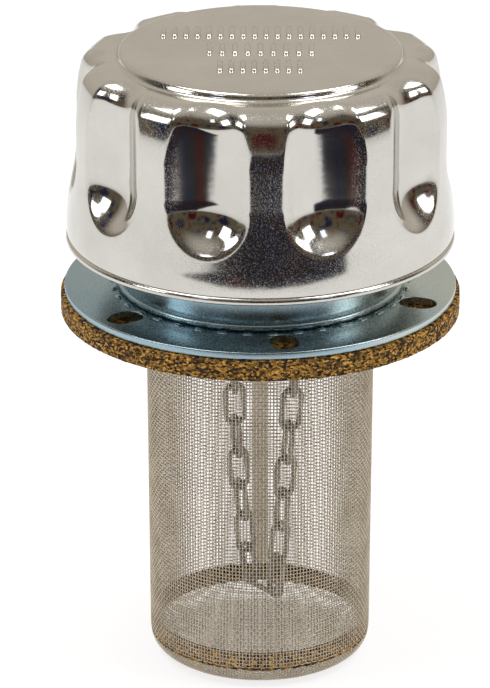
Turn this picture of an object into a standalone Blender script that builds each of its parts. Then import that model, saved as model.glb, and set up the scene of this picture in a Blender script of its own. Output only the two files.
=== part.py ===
"""Filler and breather cap with a strainer basket, for a fluid tank.

A ten-fluted pressed cap locks by a bayonet on a collar that stands on a slotted tank flange.
A mesh strainer basket hangs under the flange, and a loop of chain hangs from the cap inside it.
Dimensions are in millimetres, and heights are measured from the flange's top face.
"""

import math

import bmesh
import bpy
from mathutils import Matrix, Vector

TAU = 2 * math.pi
MM = 0.001
GAP = 0.3  # clearance between neighbouring pieces

# Flange, gasket and collar
FLANGE_R, FLANGE_T = 41.5, 1.7
FLANGE_BORE_R = 26.0
SLOT_COUNT, SLOT_START_DEG = 6, -82.0
SLOT_R, SLOT_LENGTH, SLOT_WIDTH = 35.6, 8.0, 5.8
GASKET_R, GASKET_BORE_R, GASKET_TOP, GASKET_BOTTOM = 42.4, 29.3, -2.0, -6.0
GASKET_HOLE_R = 2.5
COLLAR_R, COLLAR_T, COLLAR_TOP = 30.0, 1.2, 13.5
COLLAR_CORNER_R, COLLAR_FOOT_R, COLLAR_MOUTH_R = 2.5, 25.2, 24.0
NOTCH_DEG, NOTCH_R = 34.0, 27.4

# Strainer basket
BASKET_TOP_R, BASKET_LOW_R, BASKET_T = 24.3, 23.8, 0.5
BASKET_TOP, BASKET_CORNER, BASKET_BOTTOM = -3.2, -80.2, -84.5
RIM_INNER_R, RIM_R, RIM_TOP, RIM_BOTTOM = 24.7, 28.9, -2.0, -2.9
SEAM_WIDTH, SEAM_T, SEAM_BOTTOM = 3.6, 0.3, -76.5
CORK_RING_R, CORK_RING_BORE_R, CORK_RING_TOP, CORK_RING_BOTTOM = 22.9, 21.6, -76.9, -80.7

# Cap shell
FLUTES, FLUTE_START_DEG = 10, -16.2
TOOL_AXIS_R, TOOL_R, TOOL_BALL_Z, EDGE_BLEND = 48.4, 12.8, 30.2, 1.5
CREST_R, FLARE_Z, FLARE_SLOPE, TAPER_Z, TAPER_CURVE = 39.6, 28.0, 0.075, 38.5, 0.0165
CAP_T, CAP_ANNULUS, CAP_TOP = 0.8, 49.7, 51.1
PLATEAU_R, PLATEAU_STEP, SHOULDER_Z = 32.4, 4.0, 46.3
CURL_R, CURL_Z, CURL_END_DEG = 2.4, 11.2, -150.0

# Inside the cap
PAN_T, PAN_DISC, PAN_FLOOR, PAN_RIM = 0.8, 30.2, 20.4, 12.4
PAN_DOME_R, PAN_WALL_R, PAN_RIM_R = 18.7, 33.2, 38.2
ELEMENT_BORE_R, ELEMENT_R, ELEMENT_BOTTOM, ELEMENT_TOP = 19.8, 29.5, 21.6, 44.0
VENT_COUNT, VENT_R, VENT_CIRCLE_R, VENT_HEIGHT = 8, 1.1, 31.2, 26.0
SHANK_R, SHANK_HOLE_R = 3.0, 3.3
LUG_R, LUG_WIDTH, LUG_TOP, LUG_T = 26.4, 12.0, 11.8, 1.5
PLATE_BOTTOM, PLATE_T, PLATE_R, PLATE_BORE_R = 17.1, 0.8, 30.2, 9.0
SEAL_BORE_R, SEAL_R, SEAL_BOTTOM, SEAL_TOP = 24.5, 29.5, 13.8, 16.8
COIL_R, COIL_WIRE_R, COIL_TURNS = 12.0, 0.7, 4

# Chain, hung as a V from the two ends of the swivel eye, with a slight twist
EYE_LEFT_X, EYE_RIGHT_X, EYE_TOP, EYE_T = -5.8, 9.4, -3.1, 1.3
EYE_HUB_R, EYE_NECK, EYE_HEAD, EYE_HEAD_LENGTH = 4.7, 1.1, 3.0, 2.1
LINK_LENGTH, LINK_WIDTH, LINK_WIRE = 10.4, 5.2, 1.2
LINK_PITCH = LINK_LENGTH - 2 * LINK_WIRE - GAP
LOW_X, LOW_Z, LOW_TURN_DEG, TWIST_DEG = 0.6, -67.5, -50.0, 40.0
STRAND_LINKS = 9


def millimetres(r, angle, z):
    """A point in metres, from a radius, an angle and a height above the flange's top face."""
    return Vector((r * math.cos(angle), r * math.sin(angle), z - BASKET_BOTTOM)) * MM


def material(name, colour, metallic, roughness):
    """One Principled material for each piece."""
    mat = bpy.data.materials.new(name)
    mat.use_nodes = True
    shader = mat.node_tree.nodes["Principled BSDF"]
    shader.inputs["Base Color"].default_value = (*colour, 1.0)
    shader.inputs["Metallic"].default_value = metallic
    shader.inputs["Roughness"].default_value = roughness
    return mat


FINISHES = {
    "chrome": ((0.80, 0.79, 0.76), 1.0, 0.12),
    "zinc": ((0.52, 0.60, 0.62), 1.0, 0.30),
    "steel": ((0.62, 0.61, 0.58), 1.0, 0.40),
    "mesh": ((0.60, 0.55, 0.46), 1.0, 0.45),
    "cork": ((0.45, 0.26, 0.10), 0.0, 0.85),
    "foam": ((0.12, 0.12, 0.13), 0.0, 0.95),
    "rubber": ((0.03, 0.03, 0.03), 0.0, 0.70),
}


def add_object(name, bm, finish, smooth_deg=35.0):
    """Close off a bmesh as a named object with its own material."""
    bmesh.ops.remove_doubles(bm, verts=bm.verts, dist=1e-6)
    bmesh.ops.dissolve_degenerate(bm, edges=bm.edges, dist=1e-7)
    bmesh.ops.recalc_face_normals(bm, faces=bm.faces)
    mesh = bpy.data.meshes.new(name)
    bm.to_mesh(mesh)
    bm.free()
    mesh.shade_smooth()
    mesh.set_sharp_from_angle(angle=math.radians(smooth_deg))
    mesh.materials.append(material(name, *FINISHES[finish]))
    obj = bpy.data.objects.new(name, mesh)
    bpy.context.scene.collection.objects.link(obj)
    return obj


def lathe(profile, steps):
    """Spin a closed (radius, height) outline once round the Z axis."""
    bm = bmesh.new()
    ring = [bm.verts.new(millimetres(r, 0.0, z)) for r, z in profile]
    edges = [bm.edges.new((a, b)) for a, b in zip(ring, ring[1:] + ring[:1])]
    bmesh.ops.spin(bm, geom=ring + edges, cent=(0, 0, 0), axis=(0, 0, 1), dvec=(0, 0, 0),
                   angle=TAU, steps=steps, use_merge=True, use_duplicate=False)
    return bm


def ring_outline(inner, outer, bottom, top):
    """The outline of a plain flat ring."""
    return [(inner, bottom), (outer, bottom), (outer, top), (inner, top)]


def arc(centre_r, centre_z, radius, start_deg, end_deg, steps):
    """Points on an arc in the (radius, height) plane."""
    angles = [math.radians(start_deg + (end_deg - start_deg) * i / steps) for i in range(steps + 1)]
    return [(centre_r + radius * math.cos(a), centre_z + radius * math.sin(a)) for a in angles]


def prism(outline, bottom, top):
    """Extrude a flat (x, y) outline between two heights."""
    bm = bmesh.new()
    low = [bm.verts.new(Vector((x, y, bottom - BASKET_BOTTOM)) * MM) for x, y in outline]
    face = bm.faces.new(low)
    moved = bmesh.ops.extrude_face_region(bm, geom=[face])["geom"]
    lift = Vector((0, 0, (top - bottom) * MM))
    bmesh.ops.translate(bm, verts=[v for v in moved if isinstance(v, bmesh.types.BMVert)], vec=lift)
    return bm


def circle_outline(radius, steps, x=0.0, y=0.0):
    """Points round a circle in plan."""
    angles = [TAU * i / steps for i in range(steps)]
    return [(x + radius * math.cos(a), y + radius * math.sin(a)) for a in angles]


def stadium_outline(length, width, steps):
    """A slot outline along X, with round ends."""
    half, radius = (length - width) / 2, width / 2
    ends = [math.pi * (i / steps - 0.5) for i in range(steps + 1)]
    right = [(half + radius * math.cos(a), radius * math.sin(a)) for a in ends]
    return right + [(-x, -y) for x, y in right]


def cut(target, cutters):
    """Subtract cutters from a piece, and keep them as hidden guides."""
    for number, bm in enumerate(cutters):
        cutter = add_object(f"{target.name}_cutter_{number}", bm, "steel")
        cutter.hide_render = True
        cutter.display_type = "WIRE"
        boolean = target.modifiers.new(f"cut_{number}", "BOOLEAN")
        boolean.object = cutter
        boolean.operation = "DIFFERENCE"
        boolean.solver = "EXACT"


def turned_copies(bm, count, start_deg):
    """Repeat a cutter's shape round the Z axis, inside one mesh."""
    shape = bm.verts[:] + bm.edges[:] + bm.faces[:]
    bmesh.ops.rotate(bm, verts=bm.verts, cent=(0, 0, 0),
                     matrix=Matrix.Rotation(math.radians(start_deg), 3, "Z"))
    for i in range(1, count):
        copy = bmesh.ops.duplicate(bm, geom=shape)["geom"]
        verts = [v for v in copy if isinstance(v, bmesh.types.BMVert)]
        bmesh.ops.rotate(bm, verts=verts, cent=(0, 0, 0),
                         matrix=Matrix.Rotation(TAU * i / count, 3, "Z"))
    return bm


# Flange, collar and gasket


def make_flange():
    flange = add_object("flange_plate", lathe(ring_outline(FLANGE_BORE_R, FLANGE_R, -FLANGE_T, 0), 60),
                        "zinc")
    outline = [(SLOT_R + x, y) for x, y in stadium_outline(SLOT_LENGTH, SLOT_WIDTH, 6)]
    slot = prism(outline, -FLANGE_T - 1, 1)
    cut(flange, [turned_copies(slot, SLOT_COUNT, SLOT_START_DEG)])


def make_gasket():
    outline = ring_outline(GASKET_BORE_R, GASKET_R, GASKET_BOTTOM, GASKET_TOP)
    gasket = add_object("flange_gasket", lathe(outline, 60), "cork")
    hole = prism(circle_outline(GASKET_HOLE_R, 12, SLOT_R), GASKET_BOTTOM - 1, GASKET_TOP + 1)
    cut(gasket, [turned_copies(hole, SLOT_COUNT, SLOT_START_DEG)])


def make_collar():
    """The filler neck: a foot on the flange, a wall, and an inturned rim with two lug notches."""
    foot, top = GAP, COLLAR_TOP
    corner = COLLAR_R - COLLAR_CORNER_R
    inner = COLLAR_CORNER_R - COLLAR_T
    outside = arc(corner, foot + COLLAR_CORNER_R, COLLAR_CORNER_R, -90, 0, 3)
    outside += arc(corner, top - COLLAR_CORNER_R, COLLAR_CORNER_R, 0, 90, 3)
    inside = arc(corner, top - COLLAR_CORNER_R, inner, 90, 0, 2)
    inside += arc(corner, foot + COLLAR_CORNER_R, inner, 0, -90, 2)
    rim = [(COLLAR_MOUTH_R, top), (COLLAR_MOUTH_R, top - COLLAR_T)]
    toe = [(COLLAR_FOOT_R, foot + COLLAR_T), (COLLAR_FOOT_R, foot)]
    collar = add_object("collar", lathe(outside + rim + inside + toe, 48), "zinc")
    reach = math.radians(NOTCH_DEG / 2)
    edge = [(NOTCH_R * math.cos(a), NOTCH_R * math.sin(a)) for a in (-reach, -reach / 2, 0, reach / 2, reach)]
    notch = prism([(COLLAR_MOUTH_R - 4, edge[0][1] * 0.8), *edge, (COLLAR_MOUTH_R - 4, edge[-1][1] * 0.8)],
                  top - COLLAR_T - 0.6, top + 1)
    cut(collar, [turned_copies(notch, 2, 90)])


# Strainer basket


def make_basket():
    """The strainer's wall, floor, top rim, back seam and cork ring."""
    add_object("basket_rim", lathe(ring_outline(RIM_INNER_R, RIM_R, RIM_BOTTOM, RIM_TOP), 48), "steel")
    wall = [(BASKET_TOP_R, BASKET_TOP), (BASKET_TOP_R - BASKET_T, BASKET_TOP),
            (BASKET_LOW_R - BASKET_T, BASKET_CORNER + GAP), (BASKET_LOW_R, BASKET_CORNER + GAP)]
    add_object("basket_wall", lathe(wall, 48), "mesh")
    radius = BASKET_CORNER - BASKET_BOTTOM
    centre_r = BASKET_LOW_R - radius
    floor = arc(centre_r, BASKET_CORNER, radius, 0, -90, 4) + [(0, BASKET_BOTTOM)]
    floor += [(0, BASKET_BOTTOM + BASKET_T)] + arc(centre_r, BASKET_CORNER, radius - BASKET_T, -90, 0, 4)
    add_object("basket_floor", lathe(floor, 48), "mesh")
    ring = ring_outline(CORK_RING_BORE_R, CORK_RING_R, CORK_RING_BOTTOM, CORK_RING_TOP)
    add_object("basket_cork_ring", lathe(ring, 48), "cork")
    make_seam()


def make_seam():
    """The lapped seam of the rolled mesh, down the back of the wall."""
    inner = BASKET_LOW_R - BASKET_T - GAP - SEAM_T
    reach = SEAM_WIDTH / 2 / inner
    angles = [math.pi / 2 + reach * side for side in (1, 0, -1)]
    outline = [((inner + SEAM_T) * math.cos(a), (inner + SEAM_T) * math.sin(a)) for a in angles]
    outline += [(inner * math.cos(a), inner * math.sin(a)) for a in reversed(angles)]
    add_object("basket_seam", prism(outline, SEAM_BOTTOM, BASKET_TOP - GAP), "steel")


# Cap shell


def crest_radius(z):
    """The drum's radius between the flutes: flared below, and drawn in towards the shoulder."""
    flare = FLARE_SLOPE * max(0.0, FLARE_Z - z)
    return CREST_R + flare - TAPER_CURVE * max(0.0, z - TAPER_Z) ** 2


def wall_radius(angle, z):
    """The cap wall's radius, where a ball-nosed tool has pressed each flute into the drum."""
    crest = crest_radius(z)
    pitch = TAU / FLUTES
    offset = (angle - math.radians(FLUTE_START_DEG - 90) + pitch / 2) % pitch - pitch / 2
    side, below = TOOL_AXIS_R * math.sin(offset), max(0.0, TOOL_BALL_Z - z)
    chord = TOOL_R ** 2 - side ** 2 - below ** 2
    if chord <= 0:
        return crest
    tool = TOOL_AXIS_R * math.cos(offset) - math.sqrt(chord)
    blend = max(EDGE_BLEND - abs(crest - tool), 0.0) ** 2 / EDGE_BLEND / 4
    return min(crest, tool) - blend


def cap_section(angle, inset, heights, curl_steps):
    """One half section of the cap's pressed sheet, from the centre of the top to the curled edge."""
    top, annulus = CAP_TOP - inset, CAP_ANNULUS - inset
    step_r = PLATEAU_R - inset
    points = [(0.0, top), (step_r - PLATEAU_STEP, top), (step_r - PLATEAU_STEP * 0.35, top - 0.5),
              (step_r, annulus + 0.5), (step_r + PLATEAU_STEP * 0.25, annulus)]
    wall = wall_radius(angle, SHOULDER_Z)
    lean = math.atan((wall_radius(angle, SHOULDER_Z - 0.1) - wall) / 0.1)
    radius = (CAP_ANNULUS - SHOULDER_Z) / (1 - math.sin(lean))
    centre_r, centre_z = wall - radius * math.cos(lean), CAP_ANNULUS - radius
    points += arc(centre_r, centre_z, radius - inset, 90, math.degrees(lean), 4)
    points += [(wall_radius(angle, z) - inset, z) for z in heights]
    curl_centre = wall_radius(angle, CURL_Z) - CURL_R
    points += arc(curl_centre, CURL_Z, CURL_R - inset, 0, CURL_END_DEG, curl_steps)
    return points


def cap_angles():
    """Eight angles in each flute's pitch: the flute's middle, its sides and the crest."""
    pitch = 360 / FLUTES
    offsets = (-14.5, -10.5, -5.5, 0.0, 5.5, 10.5, 14.5, pitch / 2)
    return [math.radians(FLUTE_START_DEG - 90 + i * pitch + o) for i in range(FLUTES) for o in offsets]


def bridge_sections(bm, sections):
    """Join neighbouring closed sections, which all start and end on the axis."""
    for left, right in zip(sections, sections[1:] + sections[:1]):
        for i in range(len(left) - 1):
            corners = [left[i], left[i + 1], right[i + 1], right[i]]
            face = list(dict.fromkeys(corners))
            bm.faces.new(face)


def make_cap_shell():
    """The pressed sheet as an outer and an inner skin that meet at the curled edge."""
    outer_heights = (42.0, 36.0, 30.0, 26.5, 23.5, 20.5, 16.0)
    inner_heights = (36.0, 28.0, 20.0)
    bm = bmesh.new()
    sections = []
    tops = [bm.verts.new(millimetres(0, 0, z)) for z in (CAP_TOP, CAP_TOP - CAP_T)]
    for angle in cap_angles():
        outer = cap_section(angle, 0.0, outer_heights, 5)[1:]
        inner = cap_section(angle, CAP_T, inner_heights, 3)[1:]
        skin = [bm.verts.new(millimetres(r, angle, z)) for r, z in outer + inner[::-1]]
        sections.append([tops[0], *skin, tops[1]])
    bridge_sections(bm, sections)
    add_object("cap_shell", bm, "chrome", 50.0)


# Inside the cap


def make_pan():
    """The hat-shaped inner pan, held in the curled edge, with vents round its floor and dome."""
    t = PAN_T
    upper = [(SHANK_HOLE_R, PAN_DISC + t), (PAN_DOME_R, PAN_DISC + t), (PAN_DOME_R, PAN_FLOOR + t),
             (PAN_WALL_R, PAN_FLOOR + t), (PAN_WALL_R, PAN_RIM + t), (PAN_RIM_R, PAN_RIM + t)]
    lower = [(PAN_RIM_R, PAN_RIM), (PAN_WALL_R - t, PAN_RIM), (PAN_WALL_R - t, PAN_FLOOR),
             (PAN_DOME_R - t, PAN_FLOOR), (PAN_DOME_R - t, PAN_DISC), (SHANK_HOLE_R, PAN_DISC)]
    pan = add_object("cap_inner_pan", lathe(upper + lower, 40), "steel")
    floor_vent = prism(circle_outline(VENT_R, 8, VENT_CIRCLE_R), PAN_FLOOR - 1, PAN_FLOOR + t + 1)
    side_vent = prism(circle_outline(VENT_R, 8), PAN_DOME_R - 3, PAN_DOME_R + 2)
    centre = Vector((0, 0, -BASKET_BOTTOM * MM))
    bmesh.ops.rotate(side_vent, verts=side_vent.verts, cent=centre, matrix=Matrix.Rotation(TAU / 4, 3, "Y"))
    bmesh.ops.translate(side_vent, verts=side_vent.verts, vec=(0, 0, VENT_HEIGHT * MM))
    cut(pan, [turned_copies(floor_vent, VENT_COUNT, 4.5), turned_copies(side_vent, VENT_COUNT, 24.0)])


def make_element():
    outline = ring_outline(ELEMENT_BORE_R, ELEMENT_R, ELEMENT_BOTTOM, ELEMENT_TOP)
    add_object("breather_element", lathe(outline, 40), "foam")


def make_spider():
    """The bayonet bar: two lugs that pass the collar's notches and turn under its rim."""
    half = LUG_WIDTH / 2
    reach = math.asin(half / LUG_R)
    tip = [(LUG_R * math.cos(a), LUG_R * math.sin(a)) for a in (-reach, -reach / 3, reach / 3, reach)]
    outline = tip + [(-x, -y) for x, y in tip]
    spider = add_object("bayonet_spider", prism(outline, LUG_TOP - LUG_T, LUG_TOP), "zinc")
    spider.data.transform(Matrix.Rotation(TAU / 4, 4, "Z"))
    cut(spider, [prism(circle_outline(SHANK_HOLE_R, 16), LUG_TOP - LUG_T - 1, LUG_TOP + 1)])


def make_rivet_and_sleeve():
    """The rivet that ties pan, sleeve and bayonet bar together, and carries the swivel eye."""
    head, head_r = PAN_DISC + PAN_T + GAP, 5.5
    tail, tail_r = EYE_TOP - EYE_T - GAP, 4.4
    outline = [(0, head + 1.8), (3.5, head + 1.6), (head_r, head + 0.6), (head_r, head), (SHANK_R, head),
               (SHANK_R, tail), (tail_r, tail), (tail_r, tail - 0.8), (3.0, tail - 1.4), (0, tail - 1.4)]
    add_object("spindle_rivet", lathe(outline, 20), "zinc")
    sleeve = ring_outline(SHANK_HOLE_R, 5.5, LUG_TOP + GAP, PAN_DISC - GAP)
    add_object("spacer_sleeve", lathe(sleeve, 20), "zinc")
    bush = ring_outline(SHANK_HOLE_R, EYE_HUB_R, EYE_TOP + GAP, LUG_TOP - LUG_T - GAP)
    add_object("swivel_bush", lathe(bush, 20), "zinc")


def make_seal_plate():
    bottom, top = PLATE_BOTTOM, PLATE_BOTTOM + PLATE_T
    add_object("seal_plate", lathe(ring_outline(PLATE_BORE_R, PLATE_R, bottom, top), 40), "steel")
    add_object("cap_seal", lathe(ring_outline(SEAL_BORE_R, SEAL_R, SEAL_BOTTOM, SEAL_TOP), 40), "cork")


def tube_along(points, side, radius, steps, closed):
    """A round bar along points; side gives a unit vector at each point, square to the path."""
    bm = bmesh.new()
    count = len(points)
    rings = []
    for i, point in enumerate(points):
        ahead = points[(i + 1) % count] if closed else points[min(i + 1, count - 1)]
        behind = points[i - 1] if closed else points[max(i - 1, 0)]
        along = (ahead - behind).normalized()
        across = side(i)
        other = along.cross(across).normalized()
        angles = [TAU * k / steps for k in range(steps)]
        rings.append([bm.verts.new((point + (across * math.cos(a) + other * math.sin(a)) * radius) * MM)
                      for a in angles])
    for near, far in zip(rings, rings[1:] + (rings[:1] if closed else [])):
        for k in range(steps):
            bm.faces.new((near[k], near[(k + 1) % steps], far[(k + 1) % steps], far[k]))
    if not closed:
        bm.faces.new(rings[0])
        bm.faces.new(rings[-1])
    return bm


def make_spring():
    """The coil spring that holds the seal plate down, between it and the pan."""
    bottom = PLATE_BOTTOM + PLATE_T + GAP + COIL_WIRE_R
    top = PAN_DISC - GAP - COIL_WIRE_R
    steps = COIL_TURNS * 16
    points = []
    for i in range(steps + 1):
        angle = TAU * COIL_TURNS * i / steps
        height = bottom + (top - bottom) * i / steps - BASKET_BOTTOM
        points.append(Vector((COIL_R * math.cos(angle), COIL_R * math.sin(angle), height)))
    outward = [Vector((p.x, p.y, 0)).normalized() for p in points]
    add_object("cap_spring", tube_along(points, lambda i: outward[i], COIL_WIRE_R, 5, False), "steel")


# Chain


def make_swivel_eye():
    """The bar that turns on the rivet, with a narrow neck at each end for the chain to hang on."""
    meet = math.asin(EYE_NECK / EYE_HUB_R)
    hub = [meet + (math.pi - 2 * meet) * i / 6 for i in range(7)]
    outline = [(EYE_HUB_R * math.cos(a), EYE_HUB_R * math.sin(a)) for a in hub]
    for x, side in ((EYE_LEFT_X - EYE_NECK, -1), (EYE_RIGHT_X + EYE_NECK, 1)):
        tip = x + side * EYE_HEAD_LENGTH
        head = [(x, EYE_NECK), (x, EYE_HEAD), (tip, EYE_HEAD)]
        outline = outline + head if side < 0 else head[::-1] + outline
    outline += [(x, -y) for x, y in reversed(outline)]
    eye = add_object("swivel_eye", prism(outline, EYE_TOP - EYE_T, EYE_TOP), "zinc")
    cut(eye, [prism(circle_outline(SHANK_HOLE_R, 16), EYE_TOP - EYE_T - 1, EYE_TOP + 1)])


def strand(start, end_x, power):
    """Link centres up one side of the chain, from the lowest link to the swivel eye."""
    centres = [start]
    span = EYE_TOP - start.z
    while len(centres) < STRAND_LINKS:
        last = centres[-1]
        z = last.z + LINK_PITCH
        for _ in range(5):
            share = 1 - (z - start.z) / span
            ahead = Vector((end_x + (start.x - end_x) * share ** power, start.y * share, z))
            z -= (ahead - last).length - LINK_PITCH
        centres.append(ahead)
    return centres


def add_link(number, centre, along, roll):
    """One closed oval link; roll turns its flat side round its length, from facing -Y."""
    half = (LINK_LENGTH - LINK_WIDTH) / 2
    bend = (LINK_WIDTH - LINK_WIRE) / 2
    angles = [math.pi * i / 4 for i in range(5)]
    upper = [Vector((bend * math.cos(a), 0, half + bend * math.sin(a))) for a in angles]
    points = upper + [Vector((-p.x, 0, -p.z)) for p in upper]
    bm = tube_along(points, lambda i: Vector((0, 1, 0)), LINK_WIRE / 2, 5, True)
    link = add_object(f"chain_link_{number:02d}", bm, "steel")
    link.location = (centre - Vector((0, 0, BASKET_BOTTOM))) * MM
    lean = Vector((0, 0, 1)).rotation_difference(along)
    link.rotation_mode = "QUATERNION"
    link.rotation_quaternion = lean @ Matrix.Rotation(roll, 3, "Z").to_quaternion()


def make_chain():
    """One level link at the bottom, and a strand of links up each side to the swivel eye."""
    turn, twist = math.radians(LOW_TURN_DEG), math.radians(TWIST_DEG)
    across = Vector((math.cos(turn), math.sin(turn), 0))
    reach = across * (LINK_LENGTH - LINK_WIRE) / 2
    sag = (LINK_LENGTH - LINK_WIRE) / 2 - LINK_WIRE - GAP
    low = Vector((LOW_X, 0, LOW_Z))
    add_link(1, low - Vector((0, 0, sag)), across, turn + TAU / 4)
    number = 1
    for side, end_x, power in ((-1, EYE_LEFT_X, 2.4), (1, EYE_RIGHT_X, 0.85)):
        centres = strand(low + reach * side, end_x, power)
        for i, centre in enumerate(centres):
            below, above = centres[max(i - 1, 0)], centres[min(i + 1, len(centres) - 1)]
            roll = twist * (1 - i / (STRAND_LINKS - 1)) - (0.0 if i % 2 else TAU / 4)
            number += 1
            add_link(number, centre, (above - below).normalized(), roll)


def main():
    for obj in list(bpy.data.objects):
        bpy.data.objects.remove(obj, do_unlink=True)
    make_flange()
    make_gasket()
    make_collar()
    make_basket()
    make_cap_shell()
    make_pan()
    make_element()
    make_spider()
    make_rivet_and_sleeve()
    make_seal_plate()
    make_spring()
    make_swivel_eye()
    make_chain()


main()
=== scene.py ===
"""The looks of a filler breather cap with a strainer basket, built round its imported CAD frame.

Sizes are in millimetres and heights are measured from the flange's top face, unless a name says
otherwise. The places come from the frame's nodes.
"""

import math

import bmesh
import bpy
import numpy as np
from mathutils import Matrix, Vector
from mathutils import noise as lumps


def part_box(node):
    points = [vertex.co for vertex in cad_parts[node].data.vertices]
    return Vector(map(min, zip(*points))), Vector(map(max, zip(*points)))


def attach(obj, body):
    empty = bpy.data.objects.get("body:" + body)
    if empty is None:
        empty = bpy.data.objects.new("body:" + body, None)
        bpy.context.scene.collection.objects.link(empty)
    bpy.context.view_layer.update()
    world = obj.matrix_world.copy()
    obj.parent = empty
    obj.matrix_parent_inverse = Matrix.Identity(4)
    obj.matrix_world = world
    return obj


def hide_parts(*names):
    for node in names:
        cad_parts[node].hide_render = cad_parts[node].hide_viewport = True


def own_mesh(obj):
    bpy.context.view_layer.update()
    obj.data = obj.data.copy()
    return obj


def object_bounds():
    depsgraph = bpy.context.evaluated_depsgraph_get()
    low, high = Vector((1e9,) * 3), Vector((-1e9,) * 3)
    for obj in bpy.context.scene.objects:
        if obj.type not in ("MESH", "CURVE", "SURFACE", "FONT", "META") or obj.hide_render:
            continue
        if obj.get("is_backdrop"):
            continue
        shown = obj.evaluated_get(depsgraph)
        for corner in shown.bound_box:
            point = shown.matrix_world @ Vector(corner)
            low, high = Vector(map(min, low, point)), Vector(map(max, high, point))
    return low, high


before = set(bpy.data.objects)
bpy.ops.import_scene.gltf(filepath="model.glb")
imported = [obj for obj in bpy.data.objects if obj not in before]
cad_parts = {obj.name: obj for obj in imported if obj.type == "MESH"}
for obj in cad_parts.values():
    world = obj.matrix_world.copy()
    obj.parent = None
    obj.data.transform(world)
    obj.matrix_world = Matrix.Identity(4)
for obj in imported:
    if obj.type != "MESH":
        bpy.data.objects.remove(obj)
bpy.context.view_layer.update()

TAU = 2 * math.pi
MM = 0.001
FLANGE_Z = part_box("flange_plate")[1].z / MM
QUALITY = 1.0
FINE_STEPS, PLAIN_STEPS = 256, 160

# Cap shell
FLUTES, FIRST_FLUTE_DEG = 10, -106.2
CREST_R, FLARE_Z, FLARE_SLOPE, FLARE_EASE = 39.6, 30.0, 0.113, 4.0
SKIRT_Z, SKIRT_CURVE = 17.0, 0.0155
TAPER_Z, TAPER_CURVE = 37.5, 0.0165
TOOL_AXIS_R, TOOL_R, BALL_Z, FLUTE_DEPTH = 48.4, 12.8, 30.2, 3.0
EDGE_BLEND = 1.5
SHOULDER_Z, FLUTE_DROP, ANNULUS_Z, PLATEAU_Z = 46.4, 1.8, 49.95, 51.65
PLATEAU_R, STEP_SLOPE_DEG = 28.6, 74.0
CURL_R, CURL_Z, CURL_TURN_DEG = 3.2, 12.85, -25.0
HEM_R, HEM_END_R = 0.85, 35.2
CAP_T = 0.8
MARK_WIDTH, MARK_HEIGHT = 1.2, 0.75
MARK_ROWS = ((18, 0.0, 10.0, 6.6, 2.4), (9, 0.0, -1.2, 6.6, 2.65), (8, -0.1, -12.3, 6.6, 2.36))

# Inside the cap
SHANK_R, SHANK_HOLE_R = 3.0, 3.3
PAN_T, PAN_DOME_R, PAN_WALL_R, PAN_FLOOR = 0.8, 18.7, 33.2, 20.4
VENTS, FIRST_VENT_DEG, VENT_R, VENT_CIRCLE_R = 8, 4.5, 1.1, 31.2
BREATHER_BORE_R, SEAL_PLATE_BORE_R, SEAL_BORE_R = 19.8, 9.0, 24.5
RIVET_FLAT_R, RIVET_CROWN, RIVET_DOME, RIVET_HEAD_T = 3.5, 0.2, 1.2, 1.8
RIVET_TAIL_R, RIVET_TAIL_T, RIVET_TAIL_RIM = 4.4, 1.4, 0.8
COIL_WIRE_R, COIL_TURNS = 0.7, 4

# Flange, collar and gasket
SLOTS, FIRST_SLOT_DEG, SLOT_R = 6, -82.0, 35.6
SLOT_LENGTH, SLOT_WIDTH, GASKET_HOLE_R = 8.0, 5.8, 2.5
FLANGE_BORE_R, GASKET_BORE_R = 26.0, 29.3
COLLAR_T, COLLAR_CORNER_R, COLLAR_MOUTH_R, COLLAR_FOOT_R = 1.2, 2.5, 24.0, 25.2
NOTCH_DEG, NOTCH_R = 34.0, 27.4
FOOT_BEAD_R, FOOT_BEAD_SINK = 0.85, 0.35
STAKES, STAKE_R, STAKE_LENGTH, STAKE_WIDTH = 38, 31.3, 2.6, 1.5

# Strainer basket
WARP_WIRES, WEFT_PITCH, WIRE_R, WEAVE = 204, 0.8, 0.112, 0.115
FLOOR_PITCH, FLOOR_HALF_T = 0.6, 0.25
SEAM_ROWS, SEAM_COLUMNS, SEAM_GAP, SEAM_T, SEAM_WEAVE = 180, 8, 0.25, 0.3, 0.07
WIRE_SIDES, RIM_OVERLAP = 4, 1.0
BASKET_TOP_R, BASKET_LOW_R, BASKET_CORNER_R, RIM_BORE_R = 24.1, 23.6, 4.3, 24.7
CORK_RING_BORE_R, CORK_RING_R = 22.3, 23.62

# Chain
LINK_LENGTH, LINK_WIDTH, LINK_WIRE = 10.4, 5.2, 1.2

# Studio, in metres
AIM = (0, 0, 0.1)
FLOOR_HALF, FLOOR_GLOW = 4.0, 0.76
MAT_LEFT, MAT_RIGHT, MAT_NEAR, MAT_SPREAD = -0.31, 0.36, -0.305, 1.2
CAMERA_BACK, CAMERA_UP, LENS_MM = 0.9263, 0.35985, 245.1
CAMERA_PITCH_DEG, CAMERA_TURN_DEG = 22.02, 0.2


# Node helpers


def new_material(name):
    """An empty node material with a Principled shader."""
    mat = bpy.data.materials.new(name)
    mat.use_nodes = True
    return mat, mat.node_tree.nodes["Principled BSDF"]


def add_node(mat, kind, inputs=None, **settings):
    """Add a shader node, with its properties and its input values or links."""
    node = mat.node_tree.nodes.new(kind)
    for key, value in settings.items():
        setattr(node, key, value)
    for key, value in (inputs or {}).items():
        socket = node.inputs[key]
        if isinstance(value, bpy.types.NodeSocket):
            mat.node_tree.links.new(value, socket)
        else:
            socket.default_value = value
    return node


def ramp(mat, factor, stops, interpolation="LINEAR"):
    """A colour ramp over (position, colour) stops."""
    node = add_node(mat, "ShaderNodeValToRGB", {"Fac": factor})
    node.color_ramp.interpolation = interpolation
    elements = node.color_ramp.elements
    while len(elements) < len(stops):
        elements.new(0.5)
    for element, (position, colour) in zip(elements, stops):
        element.position = position
        element.color = (*colour, 1.0)
    return node.outputs["Color"]


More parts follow.
